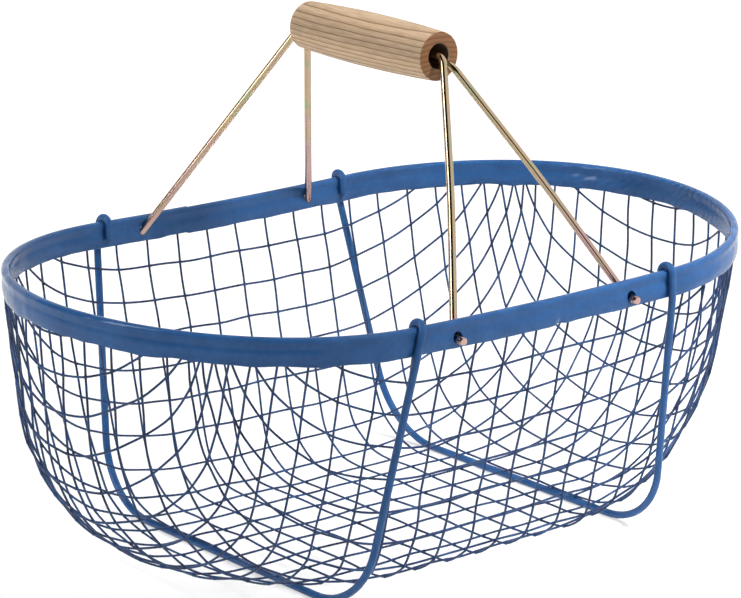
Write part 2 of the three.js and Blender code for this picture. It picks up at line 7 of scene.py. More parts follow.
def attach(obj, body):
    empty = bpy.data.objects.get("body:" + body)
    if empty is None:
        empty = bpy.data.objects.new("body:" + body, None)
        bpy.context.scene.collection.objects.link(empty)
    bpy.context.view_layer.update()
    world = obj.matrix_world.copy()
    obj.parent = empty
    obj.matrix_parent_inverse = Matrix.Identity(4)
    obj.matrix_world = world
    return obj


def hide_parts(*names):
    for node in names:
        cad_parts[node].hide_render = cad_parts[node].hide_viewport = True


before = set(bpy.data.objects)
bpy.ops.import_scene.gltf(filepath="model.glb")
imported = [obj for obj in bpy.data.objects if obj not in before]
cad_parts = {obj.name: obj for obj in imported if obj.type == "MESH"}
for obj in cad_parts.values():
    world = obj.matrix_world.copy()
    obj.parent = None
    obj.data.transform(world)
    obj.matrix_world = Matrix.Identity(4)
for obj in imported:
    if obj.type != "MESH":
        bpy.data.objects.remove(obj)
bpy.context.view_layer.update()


# Mesh bowl: square welded steel wire mesh, drawn over a former to a long rounded bowl and dip coated blue.
# The wires keep their length as they are drawn, so the cells shear in the corners of the bowl, and their
# cut ends stand 2 mm up inside the folded band. Lengthwise wires lie inside, cross wires outside.

RIM_LENGTH = 0.435
RIM_WIDTH = 0.280
RIM_STRAIGHT = 0.180
RIM_HEIGHT = 0.1614
RIM_END_RISE = 0.0063
BAND_HEIGHT = 0.0154

FLOOR_LENGTH = 0.2514
FLOOR_WIDTH = 0.1604
FLOOR_STRAIGHT = 0.058
FLOOR_HEIGHT = 0.0051
END_RADIUS = 0.0905
SIDE_RADIUS = 0.0303
CELL_LENGTH = 0.0215
CELL_WIDTH = 0.0196
LENGTHWISE_SLOPE = 0.016
CROSSWISE_SLOPE = 0.025
MESH_TUCK = 0.002

MESH_RADIUS = 0.00065
LAYER_OFFSET = 0.00047
WIRE_STRAIGHTNESS = 0.4
HAND_SHIFT = 0.0012
HAND_SHIFT_SCALE = 34.0
HAND_SHIFT_SEEDS = (5.0, 19.0, 31.0)
WELD_RINGS = ((-0.0018, 1.0), (-0.0008, 1.08), (0.0, 1.2), (0.0008, 1.08), (0.0018, 1.0))
MESH_SIDES = 8
STRIP_MARGIN = 0.08

QUARTERS = 4
SHIFT_WIDTH = 0.5
NET_TOP_LEVEL = 2.12

# The mesh's coat colours are the band's blue painted darker and more purple: painted shade on the thin
# wires.
MESH_SHADED_BLUE_DEEP = (0.010, 0.018, 0.053)
MESH_SHADED_BLUE_PALE = (0.026, 0.069, 0.185)
MESH_WAVE = 0.0
COAT_SPECULAR = 0.2
COAT_RUNS = 0.35
CREASE_START = 0.192
CREASE_FULL = 0.210


def rim_top(x):
    """Height of the rim's top edge, which rises a little towards both ends."""
    return RIM_HEIGHT + RIM_END_RISE * (x / (RIM_LENGTH / 2)) ** 2


def outline_point(turn, half_long, half_wide, half_straight):
    """A quarter of the long outline: turn 0 is the tip, 1 the end of the straight side, 2 its middle."""
    if turn > 1:
        return half_straight * (2 - turn), half_wide
    angle = math.pi / 2 * turn
    return half_straight + (half_long - half_straight) * math.cos(angle), half_wide * math.sin(angle)


def wall_profile(foot, top, radius, height):
    """Half size of the bowl at a height over its floor: an arc out of the floor, then a leaning wall."""
    across = top - foot
    up = height - radius
    lean = math.atan2(across, up) - math.asin(radius / math.hypot(across, up))
    arc_height = radius * (1 - math.sin(lean))
    arc_reach = foot + radius * math.cos(lean)

    def half_size(rise):
        if rise >= height:
            return top
        if rise > arc_height:
            return arc_reach + (rise - arc_height) * math.tan(lean)
        return foot + math.sqrt(max(2 * radius * rise - rise * rise, 0))

    return half_size


bowl_height = RIM_HEIGHT - FLOOR_HEIGHT
wall_height = bowl_height - BAND_HEIGHT
long_profile = wall_profile(FLOOR_LENGTH / 2, RIM_LENGTH / 2, END_RADIUS, wall_height)
wide_profile = wall_profile(FLOOR_WIDTH / 2, RIM_WIDTH / 2, SIDE_RADIUS, wall_height)


def bowl_point(turn, level):
    """Point of the bowl: level 0 to 1 goes over the floor and 1 to 2 up the wall."""
    rise = bowl_height * max(level - 1, 0) ** 2
    inside = min(level, 1)
    half_long = long_profile(rise)
    share = (half_long - FLOOR_LENGTH / 2) / (RIM_LENGTH / 2 - FLOOR_LENGTH / 2)
    half_straight = (FLOOR_STRAIGHT + (RIM_STRAIGHT - FLOOR_STRAIGHT) * share) / 2
    x, y = outline_point(turn, half_long, wide_profile(rise), half_straight)
    lift = RIM_END_RISE * (x * inside / (RIM_LENGTH / 2)) ** 2 * (rise / bowl_height)
    return Vector((x * inside, y * inside, FLOOR_HEIGHT + rise + lift))


def floor_place(x, y):
    """Turn and level of a point of the flat floor."""
    wide = FLOOR_WIDTH / 2
    straight = FLOOR_STRAIGHT / 2
    tip = FLOOR_LENGTH / 2 - straight
    if x * wide <= straight * y:
        return 2 - (x * wide) / (y * straight), y / wide
    a = (x / tip) ** 2 + (y / wide) ** 2
    b = x * straight / tip ** 2
    c = (straight / tip) ** 2 - 1
    scale = (b + math.sqrt(b * b - a * c)) / a
    angle = math.atan2(y * scale / wide, (x * scale - straight) / tip)
    return angle / (math.pi / 2), 1 / scale


def place_between(guess, from_a, length_a, from_b, length_b):
    """Place on the bowl at given distances from two points, by Newton steps from a guess."""
    nudge = 1e-6
    close_enough = 1e-9
    longest_step = 0.1
    most_steps = 50
    turn, level = guess

    def miss(at_turn, at_level):
        point = bowl_point(at_turn, at_level)
        return (point - from_a).length - length_a, (point - from_b).length - length_b

    for _ in range(most_steps):
        a, b = miss(turn, level)
        if abs(a) + abs(b) < close_enough:
            return turn, level
        turn_a, turn_b = miss(turn + nudge, level)
        level_a, level_b = miss(turn, level + nudge)
        turn_a, turn_b = (turn_a - a) / nudge, (turn_b - b) / nudge
        level_a, level_b = (level_a - a) / nudge, (level_b - b) / nudge
        scale = turn_a * level_b - level_a * turn_b
        step_turn = (level_a * b - level_b * a) / scale
        step_level = (turn_b * a - turn_a * b) / scale
        shorten = min(1, longest_step / max(abs(step_turn), abs(step_level)))
        turn += step_turn * shorten
        level = max(level + step_level * shorten, nudge)
    a, b = miss(turn, level)
    return (turn, level) if abs(a) + abs(b) < nudge else None


def place_along(turn, level, start, length):
    """Next place along a line of constant turn, at a distance from the last one."""
    halvings = 50
    near, far = level, level + 1
    for _ in range(halvings):
        middle = (near + far) / 2
        if (bowl_point(turn, middle) - start).length < length:
            near = middle
        else:
            far = middle
    return turn, near


def drape_quarter():
    """The mesh sheet laid over a quarter of the bowl, with four net steps of fixed length to a cell."""
    step_long = CELL_LENGTH / QUARTERS
    step_wide = CELL_WIDTH / QUARTERS
    places = {(0, 0): (1, 0)}
    points = {(0, 0): bowl_point(1, 0)}

    def seed(key, place):
        if place and place[1] <= NET_TOP_LEVEL:
            places[key] = place
            points[key] = bowl_point(*place)
        return key in places

    columns = 1
    while seed((columns, 0), place_along(0, places[columns - 1, 0][1], points[columns - 1, 0], step_long)):
        columns += 1
    rows = 1
    while seed((0, rows), place_along(2, places[0, rows - 1][1], points[0, rows - 1], step_wide)):
        rows += 1
    for row in range(1, rows):
        for column in range(1, columns):
            beside, below, corner = (column - 1, row), (column, row - 1), (column - 1, row - 1)
            if beside in places and below in places:
                if max(places[beside][1], places[below][1]) <= 1:
                    guess = points[beside] + points[below] - points[corner]
                    turn, level = floor_place(guess.x, guess.y)
                else:
                    turn, level = (places[beside][k] + places[below][k] - places[corner][k] for k in (0, 1))
                turn = min(max(turn, 0), 2)
                found = place_between((turn, level), points[beside], step_long, points[below], step_wide)
                seed((column, row), found)
    return points, columns, rows


net, net_columns, net_rows = drape_quarter()


def net_point(steps_long, steps_wide):
    """Point of the whole net at given steps from its middle: between four of the quarter, then mirrored."""
    column, row = int(abs(steps_long)), int(abs(steps_wide))
    around = [net.get((column + right, row + up)) for right, up in ((0, 0), (1, 0), (0, 1), (1, 1))]
    if None in around:
        return None
    share_long, share_wide = abs(steps_long) - column, abs(steps_wide) - row
    below = around[0].lerp(around[1], share_long)
    found = below.lerp(around[2].lerp(around[3], share_long), share_wide)
    return Vector((math.copysign(found.x, steps_long), math.copysign(found.y, steps_wide), found.z))


def sheet_point(cells_long, cells_wide):
    """Point of the laid mesh sheet, counted in cells from its middle. Its wires run a little askew."""
    wide_at_middle = cells_wide * CELL_WIDTH
    askew = 1 + CROSSWISE_SLOPE * LENGTHWISE_SLOPE
    long = (cells_long * CELL_LENGTH + CROSSWISE_SLOPE * wide_at_middle) / askew
    wide = wide_at_middle - LENGTHWISE_SLOPE * long
    return net_point(long * QUARTERS / CELL_LENGTH, wide * QUARTERS / CELL_WIDTH)


def sheet_normal(cells_long, cells_wide):
    """Direction into the bowl at a point of the mesh sheet."""
    step = 1 / QUARTERS
    here = sheet_point(cells_long, cells_wide)
    right = sheet_point(cells_long + step, cells_wide) or here
    left = sheet_point(cells_long - step, cells_wide) or here
    far = sheet_point(cells_long, cells_wide + step) or here
    near = sheet_point(cells_long, cells_wide - step) or here
    return (right - left).cross(far - near).normalized()


def over_trim(point):
    """How far a mesh wire's point stands above the cut edge inside the band."""
    return point.z - (rim_top(point.x) - BAND_HEIGHT + MESH_TUCK)


def hand_shift(point):
    """Small shift of a mesh wire off its even run, slowly changing along it."""
    at = point * HAND_SHIFT_SCALE
    return Vector([noise.noise(at + Vector((0, 0, seed))) for seed in HAND_SHIFT_SEEDS]) * HAND_SHIFT


def mesh_wire_samples(line, layer):
    """Centre, normal and radius along a mesh wire: nearly straight between its welds, swollen at each."""
    crossings = [k for k, (_, _, is_weld) in enumerate(line) if is_weld]
    points = [sheet_point(long, wide) for long, wide, _ in line]
    straight = list(points)
    for start, end in zip(crossings, crossings[1:]):
        for k in range(start + 1, end):
            chord = points[start].lerp(points[end], (k - start) / (end - start))
            straight[k] = points[k].lerp(chord, WIRE_STRAIGHTNESS)
    samples = []
    for k, (long, wide, is_weld) in enumerate(line):
        normal = sheet_normal(long, wide)
        rings = WELD_RINGS if is_weld else ((0.0, 1.0),)
        for along, swell in rings:
            ahead = straight[min(max(k + (1 if along > 0 else -1), 0), len(line) - 1)]
            step = ahead - straight[k]
            point = straight[k] + step * (abs(along) / step.length if step.length else 0)
            point = point + hand_shift(point) + normal * layer
            samples.append((point, normal, MESH_RADIUS * swell))
    return samples


def trimmed_runs(samples):
    """The stretches of a mesh wire below the cut edge, each ended exactly at that edge."""
    runs = []
    run = []
    for before, here in zip([None] + samples, samples):
        over = over_trim(here[0])
        if before and (over_trim(before[0]) > 0) != (over > 0):
            share = over_trim(before[0]) / (over_trim(before[0]) - over)
            run.append((before[0].lerp(here[0], share), here[1], MESH_RADIUS))
        if over <= 0:
            run.append(here)
        elif run:
            runs.append(run)
            run = []
    if run:
        runs.append(run)
    return [run for run in runs if len(run) > 1]


def wire_rings(samples):
    """Rings of a round wire: centre, radius and two axes square to its run."""
    rings = []
    for k, (point, facing, radius) in enumerate(samples):
        run = samples[min(k + 1, len(samples) - 1)][0] - samples[max(k - 1, 0)][0]
        beside = facing.cross(run).normalized()
        rings.append((point, radius, beside, run.cross(beside).normalized()))
    return rings


def new_piece(name, points, faces, layout=()):
    """A new object with its mesh, and with its layout for baking where it has one."""
    mesh = bpy.data.meshes.new(name)
    mesh.from_pydata(points, [], faces)
    if layout:
        uv = mesh.uv_layers.new(name="OFBake")
        uv.uv.foreach_set("vector", [value for pair in layout for value in pair])
    mesh.update()
    piece = bpy.data.objects.new(name, mesh)
    bpy.context.collection.objects.link(piece)
    return piece


def wire_piece(name, wires, sides):
    """One mesh of round wires. Each wire lies as a strip of its own in the layout for baking."""
    points, faces, layout = [], [], []
    lengths = [sum((b[0] - a[0]).length for a, b in zip(rings, rings[1:])) for rings in wires]
    strip = 1 / len(wires)
    margin = STRIP_MARGIN * strip
    for row, rings in enumerate(wires):
        base = len(points)
        for centre, radius, beside, above in rings:
            for k in range(sides):
                angle = 2 * math.pi * k / sides
                points.append(centre + (beside * math.cos(angle) + above * math.sin(angle)) * radius)
        low = row * strip + margin
        high = (row + 1) * strip - margin
        travelled = 0
        for ring in range(len(rings) - 1):
            start = travelled / max(lengths)
            travelled += (rings[ring + 1][0] - rings[ring][0]).length
            end = travelled / max(lengths)
            for k in range(sides):
                a = base + ring * sides + k
                b = base + ring * sides + (k + 1) % sides
                faces.append((a, b, b + sides, a + sides))
                bottom = low + (high - low) * k / sides
                top = low + (high - low) * (k + 1) / sides
                layout.extend(((start, bottom), (start, top), (end, top), (end, bottom)))
        last = base + (len(rings) - 1) * sides
        faces.append(tuple(range(base + sides - 1, base - 1, -1)))
        faces.append(tuple(range(last, last + sides)))
        cap = [2 * math.pi * k / sides for k in range(sides)]
        small = (high - low) / 4
        middle = (low + high) / 2
        for centre in (small, travelled / max(lengths) - small):
            layout.extend((centre + small * math.cos(a), middle + small * math.sin(a)) for a in cap)
    piece = new_piece(name, points, faces, layout)
    piece.data.shade_smooth()
    return piece


class Finish:
    """A material in the making. Most methods add one node and give its output."""

    def __init__(self, name):
        self.material = bpy.data.materials.new(name)
        self.material.use_nodes = True
        self.tree = self.material.node_tree
        self.shader = self.tree.nodes["Principled BSDF"]

    def feed(self, socket, value):
        """Link an output to a socket, or set the socket to a constant."""
        if isinstance(value, bpy.types.NodeSocket):
            self.tree.links.new(value, socket)
        else:
            socket.default_value = value

    def add(self, kind, settings=(), **inputs):
        """A node of any kind. Its inputs go by name, or by number after an underscore."""
        made = self.tree.nodes.new(kind)
        for key, value in dict(settings).items():
            setattr(made, key, value)
        for key, value in inputs.items():
            number = key[1:]
            self.feed(made.inputs[int(number) if number.isdigit() else key.replace("_", " ")], value)
        return made.outputs

    def use(self, **inputs):
        """Set inputs of the material's own shader."""
        for key, value in inputs.items():
            self.feed(self.shader.inputs[key.replace("_", " ")], value)

    def math(self, operation, *values):
        """A sum on numbers."""
        numbered = {f"_{k}": value for k, value in enumerate(values)}
        return self.add("ShaderNodeMath", {"operation": operation}, **numbered)["Value"]

    def vector(self, operation, *values):
        """A sum on vectors."""
        numbered = {f"_{k}": value for k, value in enumerate(values)}
        outputs = self.add("ShaderNodeVectorMath", {"operation": operation}, **numbered)
        return outputs["Value" if operation in ("LENGTH", "DOT_PRODUCT") else "Vector"]

    def noise(self, place, scale, detail=2.0, roughness=0.5):
        """Soft noise by place, about 0 to 1."""
        settings = {"Scale": scale, "Detail": detail, "Roughness": roughness}
        return self.add("ShaderNodeTexNoise", Vector=place, **settings)["Fac"]

    def span(self, value, low, high, to_low=0.0, to_high=1.0):
        """A value's place between two limits, carried over to two others."""
        limits = {"From_Min": low, "From_Max": high, "To_Min": to_low, "To_Max": to_high}
        return self.add("ShaderNodeMapRange", Value=value, **limits)["Result"]

    def blend(self, share, *colours):
        """A mix of two colours."""
        first, second = (c if isinstance(c, bpy.types.NodeSocket) else (*c, 1) for c in colours)
        return self.add("ShaderNodeMix", {"data_type": "RGBA"}, _0=share, _6=first, _7=second)[2]

    def ramp(self, share, stops):
        """A run of colours with a stop for each."""
        made = self.tree.nodes.new("ShaderNodeValToRGB")
        self.feed(made.inputs["Fac"], share)
        elements = made.color_ramp.elements
        while len(elements) < len(stops):
            elements.new(0.5)
        for element, (at, colour) in zip(elements, stops):
            element.position = at
            element.color = (*colour, 1)
        return made.outputs["Color"]

    def bump(self, height, strength, distance, **below):
        """Relief in the shading, over the relief below where there is one."""
        size = {"Strength": strength, "Distance": distance}
        return self.add("ShaderNodeBump", Height=height, **size, **below)["Normal"]


def blue_dip_coat(name, deep, pale, wave):
    """Blue dip coat: slow changes of colour and gloss, orange peel, waves, and creases inside the bends."""
    coat = Finish(name)
    place = coat.add("ShaderNodeTexCoord")["Object"]
    facing = coat.add("ShaderNodeTexCoord")["Normal"]
    cloud = coat.noise(place, scale=55.0, detail=4.0, roughness=0.6)
    runs = coat.noise(place, scale=420.0)
    tone = coat.span(coat.math("MULTIPLY_ADD", runs, COAT_RUNS, cloud), low=0.45, high=0.9)
    gloss = coat.span(cloud, low=0.3, high=0.7, to_low=0.12, to_high=0.22)
    peel = coat.noise(place, scale=700.0)
    dents = coat.noise(place, scale=85.0, detail=1.0, roughness=0.4)
    inner = coat.math("LESS_THAN", coat.vector("DOT_PRODUCT", facing, place), 0.0)
    along = coat.math("ABSOLUTE", coat.add("ShaderNodeSeparateXYZ", Vector=place)["X"])
    bent = coat.span(along, CREASE_START, CREASE_FULL, to_high=wave)
    ripple = coat.add("ShaderNodeTexWave", {"bands_direction": "DIAGONAL"},
                      Vector=place, Scale=90.0, Distortion=7.0, Detail=1.0, Detail_Scale=0.6)["Fac"]
    creases = coat.bump(ripple, strength=coat.math("MULTIPLY", inner, bent), distance=0.0008)
    waves = coat.bump(dents, strength=wave, distance=0.0015, Normal=creases)
    coat.use(Base_Color=coat.blend(tone, deep, pale), Roughness=gloss, Specular_IOR_Level=COAT_SPECULAR,
             Normal=coat.bump(peel, strength=0.1, distance=0.0004, Normal=waves))
    return coat.material


cells_along = range(-net_columns // QUARTERS, net_columns // QUARTERS + 1)
cells_across = range(-net_rows // QUARTERS, net_rows // QUARTERS + 1)
along_steps = range(-net_columns, net_columns + 1)
across_steps = range(-net_rows, net_rows + 1)
lengthwise = [
    [(k / QUARTERS, cell + SHIFT_WIDTH, k % QUARTERS == 0) for k in along_steps] for cell in cells_across]
crosswise = [
    [(cell, k / QUARTERS + SHIFT_WIDTH, k % QUARTERS == 0) for k in across_steps] for cell in cells_along]
mesh_wires = []
for lines, layer in ((lengthwise, LAYER_OFFSET), (crosswise, -LAYER_OFFSET)):
    for steps in lines:
        line = [step for step in steps if sheet_point(step[0], step[1])]
        if len(line) > 1:
            mesh_wires.extend(trimmed_runs(mesh_wire_samples(line, layer)))

mesh_bowl = wire_piece("mesh_bowl_wires", [wire_rings(run) for run in mesh_wires], MESH_SIDES)
# The mesh gets a darker copy of the blue dip coat, which is painted shade for its thin wires.
mesh_bowl.data.materials.append(blue_dip_coat("blue_coat_mesh_shaded", MESH_SHADED_BLUE_DEEP, MESH_SHADED_BLUE_PALE, MESH_WAVE))
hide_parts("mesh_bowl")
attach(mesh_bowl, "basket")


# Rim core: the round steel wire that the band is folded over, all round the top of the bowl.
# It only shows from below, between the two skirts of the band, where the dip coat reached it too.

BLUE_DEEP = (0.020, 0.069, 0.190)
BLUE_PALE = (0.026, 0.096, 0.258)
BLUE_WAVE = 0.5

blue_coat = blue_dip_coat("blue_coat_rim", BLUE_DEEP, BLUE_PALE, BLUE_WAVE)
rim_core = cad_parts["rim_wire"]
rim_core.data.materials.clear()
rim_core.data.materials.append(blue_coat)


# Rim band: a steel strip folded down on both sides over the core wire, so it has a round bead on top and
# two skirts that grip the mesh. Its ends lap on the far side, the folding left its lower edges wavy with a
# small dent on the near side, and four oval holes take the bails. Dip coated blue with the mesh.

RIM_STEPS = 400
BEAD_RADIUS = 0.0025
BEAD_STEPS = 7
BEAD_STEP = 15
STRIP_THICKNESS = 0.0007
SKIRT_OUT = 0.0016
SKIRT_ARCH = 0.0008
SKIRT_TOP = 0.0056
SKIRT_SHARES = (0.0, 0.12, 0.26, 0.4, 0.54, 0.68, 0.82, 0.94)
SKIRT_SEEDS = ((1, 3.0), (-1, 17.0))
EDGE_BREAK = 0.00009
LAP_START_X = -0.030
LAP_LENGTH = 0.015
LAP_RAMP = 0.005
LAP_RAISE = 0.0005
LAP_LIFT = 0.0010
LAP_END_LIFT = 1.2
EDGE_WAVE = 0.0006
END_WAVE = 0.0013
SLOW_WAVES = 38
QUICK_WAVES = 95
QUICK_SHARE = 0.6
SKIRT_BULGE = 0.0004
BULGE_WAVES = 60
DENT_X = 0.009
DENT_WIDTH = 0.003
DENT_DEPTH = 0.0013
DENT_TRACE = 0.02
STATION_STEP = 0.004
FINE_STATION_STEP = 0.0011
HOLE_ZONE = 0.008
BAND_SHARP = 40
LAYOUT_STRIPS = 8
LAYOUT_EDGE = 0.05
CAP_PATCH = 0.001

HANDLE_OFFSET = -0.0018
BAIL_SPACING = 0.123
BAIL_WIRE = 0.0042
BAIL_STUB = 0.005
BAIL_FOOT_Y = 0.139
BAIL_FOOT_HEIGHT = 0.1514
BAIL_FOOT_RADIUS = 0.0035
BAIL_GRIP_RADIUS = 0.0085
BAIL_BESIDE = 0.0019
BAIL_LEFT_BENDS = ((-0.0592, 0.2790), (0.0586, 0.2824))
BAIL_RIGHT_BENDS = ((-0.0626, 0.2742), (0.0630, 0.2800))
BAIL_BOW = 0.002
BAIL_BOW_RADIUS = 1.2
HOLE_WIDTH = 0.0062
HOLE_HEIGHT = 0.0066
HOLE_PLAY = 0.0002
HOLE_CENTRE = BAIL_FOOT_HEIGHT - BAIL_WIRE / 2 - HOLE_PLAY + HOLE_HEIGHT / 2
PUNCH_SIDES = 32
PUNCH_REACH = 1.08
SLOT_PLAY = 0.0004
SLOT_IN_BAND = 0.001
SLOT_UP_LEG = 0.014
SLOT_DOME = 0.0002
WIRE_SIDES = 20
TURN_STEPS = 14
TURN_STEPS_LEAST = 3
SAME_PLACE = 1e-5
DOME_ANGLES = (0, 22, 44, 62, 78)


def rim_outline(steps):
    """Points and outward directions round the rim's middle line, counter-clockwise from above."""
    half_straight = RIM_STRAIGHT / 2
    half_long = RIM_LENGTH / 2 - half_straight
    half_wide = RIM_WIDTH / 2
    quarter = []
    for step in range(2 * steps + 1):
        turn = step / steps
        x, y = outline_point(turn, RIM_LENGTH / 2, half_wide, half_straight)
        out = Vector((max(x - half_straight, 0) / half_long ** 2, y / half_wide ** 2, 0))
        quarter.append((Vector((x, y, 0)), out.normalized()))
    loop = []
    for sign_x, sign_y in ((1, 1), (-1, 1), (-1, -1), (1, -1)):
        run = quarter[:-1] if sign_x * sign_y > 0 else quarter[:0:-1]
        for point, out in run:
            flip = Vector((sign_x, sign_y, 1))
            loop.append((point * flip, out * flip))
    return loop


rim_table = rim_outline(RIM_STEPS)
lap_start = Vector((LAP_START_X, RIM_WIDTH / 2, 0))
start = min(range(len(rim_table)), key=lambda k: (rim_table[k][0] - lap_start).length)
rim_table = rim_table[start:] + rim_table[:start]
rim_reach = [0.0]
for (here, _), (after, _) in zip(rim_table, rim_table[1:] + rim_table[:1]):
    rim_reach.append(rim_reach[-1] + (after - here).length)
rim_round = rim_reach[-1]


def rim_place(along):
    """Middle line point and outward direction at a distance along the rim from the start of its lap."""
    along %= rim_round
    low, high = 0, len(rim_table)
    while high - low > 1:
        middle = (low + high) // 2
        if rim_reach[middle] <= along:
            low = middle
        else:
            high = middle
    share = (along - rim_reach[low]) / (rim_reach[low + 1] - rim_reach[low])
    point, out = rim_table[low]
    next_point, next_out = rim_table[(low + 1) % len(rim_table)]
    return point.lerp(next_point, share), out.lerp(next_out, share).normalized()


def band_half_section(raise_by, drop_to, bulge):
    """Outer and inner line of one skirt, from the top of the bead down, as (out, drop) pairs."""
    outer_radius = BEAD_RADIUS + raise_by
    inner_radius = outer_radius - STRIP_THICKNESS
    outer = []
    inner = []
    for step in range(BEAD_STEPS):
        angle = math.radians(BEAD_STEP * (step + 0.5))
        outer.append((outer_radius * math.sin(angle), BEAD_RADIUS - outer_radius * math.cos(angle)))
        inner.append((inner_radius * math.sin(angle), BEAD_RADIUS - inner_radius * math.cos(angle)))
    skirt = SKIRT_OUT + raise_by
    for share in SKIRT_SHARES:
        drop = SKIRT_TOP + (drop_to - SKIRT_TOP) * share
        out = skirt + bulge * share + SKIRT_ARCH * math.sin(math.pi * share)
        outer.append((out, drop))
        inner.append((out - STRIP_THICKNESS, drop))
    last = skirt + bulge
    outer.append((last - EDGE_BREAK, drop_to - EDGE_BREAK))
    outer.append((last - STRIP_THICKNESS / 2, drop_to))
    inner.append((last - STRIP_THICKNESS + EDGE_BREAK, drop_to - EDGE_BREAK))
    return outer, inner


def edge_wave(point, seed):
    """How far the band's lower edge hangs below its mean line: little waves, larger at the bent ends."""
    bent = min(max(abs(point.x) - RIM_STRAIGHT / 2, 0) / (RIM_LENGTH / 2 - RIM_STRAIGHT / 2), 1)
    size = EDGE_WAVE + (END_WAVE - EDGE_WAVE) * bent
    slow = noise.noise(point * SLOW_WAVES + Vector((seed, 0, 0)))
    quick = noise.noise(point * QUICK_WAVES + Vector((0, seed, 0)))
    return size * (slow + QUICK_SHARE * quick)


def edge_dent(point, side):
    """How far the lower edge is knocked in at one place of the near outer skirt."""
    if point.y > 0 or side < 0:
        return 0
    return DENT_DEPTH * math.exp(-((point.x - DENT_X) / DENT_WIDTH) ** 2)


def band_section(along):
    """Closed section of the folded strip at a distance along the rim."""
    point, _ = rim_place(along)
    lapped = min(max((LAP_LENGTH + LAP_RAMP - along) / LAP_RAMP, 0), 1)
    raise_by = LAP_RAISE * lapped
    lifted = LAP_LIFT * max(lapped, LAP_END_LIFT if along > rim_round else 0)
    lines = []
    for side, seed in SKIRT_SEEDS:
        dent = edge_dent(point, side)
        drop_to = BAND_HEIGHT + edge_wave(point, seed) - lifted - dent / 2
        swell = noise.noise(point * BULGE_WAVES + Vector((0, 0, seed)))
        bulge = SKIRT_BULGE * (0.5 + swell) - dent
        for line in band_half_section(raise_by, drop_to, bulge):
            lines.append([(side * out, drop) for out, drop in line])
    outer_right, inner_right, outer_left, inner_left = lines
    return outer_right[::-1] + outer_left + inner_left[::-1] + inner_right


def band_stations():
    """Distances along the rim at which the strip is shaped, close together at holes, lap and dent."""
    stations = [0.0]
    while stations[-1] < rim_round + LAP_LENGTH:
        point, _ = rim_place(stations[-1])
        near_hole = abs(abs(point.x - HANDLE_OFFSET) - BAIL_SPACING / 2) < HOLE_ZONE
        near_lap = stations[-1] < LAP_LENGTH + LAP_RAMP
        near_dent = edge_dent(point, 1) > DENT_DEPTH * DENT_TRACE
        fine = near_hole or near_lap or near_dent
        stations.append(stations[-1] + (FINE_STATION_STEP if fine else STATION_STEP))
    return stations


band_points, band_faces, band_layout = [], [], []
band_rings = band_stations()
per_strip = math.ceil((len(band_rings) - 1) / LAYOUT_STRIPS)
for along in band_rings:
    point, out = rim_place(along)
    section = band_section(along)
    band_points.extend(point + out * o + Vector((0, 0, rim_top(point.x) - d)) for o, d in section)
count = len(section)
for ring in range(len(band_rings) - 1):
    strip = ring // per_strip
    first = band_rings[strip * per_strip]
    whole = band_rings[min((strip + 1) * per_strip, len(band_rings) - 1)] - first
    left = (band_rings[ring] - first) / whole
    right = (band_rings[ring + 1] - first) / whole
    for k in range(count):
        a = ring * count + k
        b = ring * count + (k + 1) % count
        band_faces.append((a, a + count, b + count, b))
        ends = [LAYOUT_EDGE + (1 - 2 * LAYOUT_EDGE) * at / count for at in (k, k + 1)]
        low, high = ((strip + end) / LAYOUT_STRIPS for end in ends)
        band_layout.extend(((left, low), (right, low), (right, high), (left, high)))
last = (len(band_rings) - 1) * count
for base, order in ((0, 1), (last, -1)):
    half = count // 2
    for k in range(half - 1):
        quad = [base + k, base + k + 1, base + count - 2 - k, base + count - 1 - k]
        if k + 1 != count - 2 - k:
            band_faces.append(tuple(quad[::order]))
            band_layout.extend(((0, 0), (CAP_PATCH, 0), (CAP_PATCH, CAP_PATCH), (0, CAP_PATCH)))
rim_band = new_piece("rim_band_strip", band_points, band_faces, band_layout)


def bail_corners(sign):
    """Corners of a bail: stub end, foot, bowed leg, both bends at the grip, far foot and far stub end."""
    foot_x = HANDLE_OFFSET + sign * BAIL_SPACING / 2
    bore_x = HANDLE_OFFSET + sign * BAIL_BESIDE
    (near_y, near_z), (far_y, far_z) = BAIL_LEFT_BENDS if sign < 0 else BAIL_RIGHT_BENDS
    stub_end = RIM_WIDTH / 2 + BEAD_RADIUS + BAIL_STUB
    near_foot = Vector((foot_x, -BAIL_FOOT_Y, BAIL_FOOT_HEIGHT))
    near_bend = Vector((bore_x, near_y, near_z))
    return [
        (Vector((foot_x, -stub_end, BAIL_FOOT_HEIGHT)), 0),
        (near_foot, BAIL_FOOT_RADIUS),
        (near_foot.lerp(near_bend, 0.5) + Vector((BAIL_BOW, 0, 0)), BAIL_BOW_RADIUS),
        (near_bend, BAIL_GRIP_RADIUS),
        (Vector((bore_x, far_y, far_z)), BAIL_GRIP_RADIUS),
        (Vector((foot_x, BAIL_FOOT_Y, BAIL_FOOT_HEIGHT)), BAIL_FOOT_RADIUS),
        (Vector((foot_x, stub_end, BAIL_FOOT_HEIGHT)), 0),
    ]


def bent_run(corners):
    """Points of a bent wire: straight between its corners, with each inner corner rounded to its radius."""
    points = [corners[0][0]]
    for (before, _), (at, radius), (after, _) in zip(corners, corners[1:], corners[2:]):
        into = (at - before).normalized()
        out_of = (after - at).normalized()
        turn = into.angle(out_of)
        inwards = (out_of - into).normalized()
        centre = at + inwards * (radius / math.cos(turn / 2))
        spoke = at - into * (radius * math.tan(turn / 2)) - centre
        steps = max(TURN_STEPS_LEAST, math.ceil(TURN_STEPS * turn / (math.pi / 2)))
        for step in range(steps + 1):
            angle = turn * step / steps
            points.append(centre + spoke * math.cos(angle) + into * (radius * math.sin(angle)))
    points.append(corners[-1][0])
    apart = [(after - here).length > SAME_PLACE for here, after in zip(points, points[1:])]
    return [point for point, keep in zip(points, [True] + apart) if keep]


